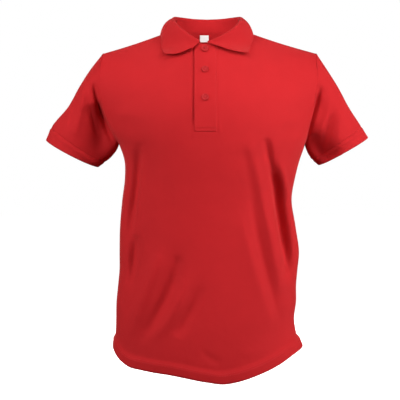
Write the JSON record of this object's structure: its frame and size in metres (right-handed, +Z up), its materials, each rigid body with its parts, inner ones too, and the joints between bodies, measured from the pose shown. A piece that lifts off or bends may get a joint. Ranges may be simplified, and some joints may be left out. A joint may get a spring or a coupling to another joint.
{
  "type": "polo shirt",
  "caption": "Short-sleeved polo shirt with fold-over collar and buttoned placket, filled out as worn, with open neck, cuffs and hem.",
  "frame": {"origin": "midway between the two points where the shoulder seams meet the neck, where the wearer's shoulders carry the shirt", "axes": "+Z up towards the collar, -Y out of the front, +X towards the wearer's left sleeve"},
  "size_m": [0.66, 0.235, 0.7375],
  "materials": {
    "red_pique": "matt cotton pique knit",
    "red_rib": "matt flat-knit rib",
    "red_button": "satin",
    "white_label": "smooth woven tape"
  },
  "bodies": {
    "root": {"front": "red_pique", "back": "red_pique", "sleeve_left": "red_pique", "sleeve_right": "red_pique", "cuff_left": "red_rib", "cuff_right": "red_rib", "collar": "red_rib", "placket_upper": "red_pique", "placket_under": "red_pique", "button_top": "red_button", "button_middle": "red_button", "button_bottom": "red_button", "label": "white_label"}
  },
  "joints": []
}
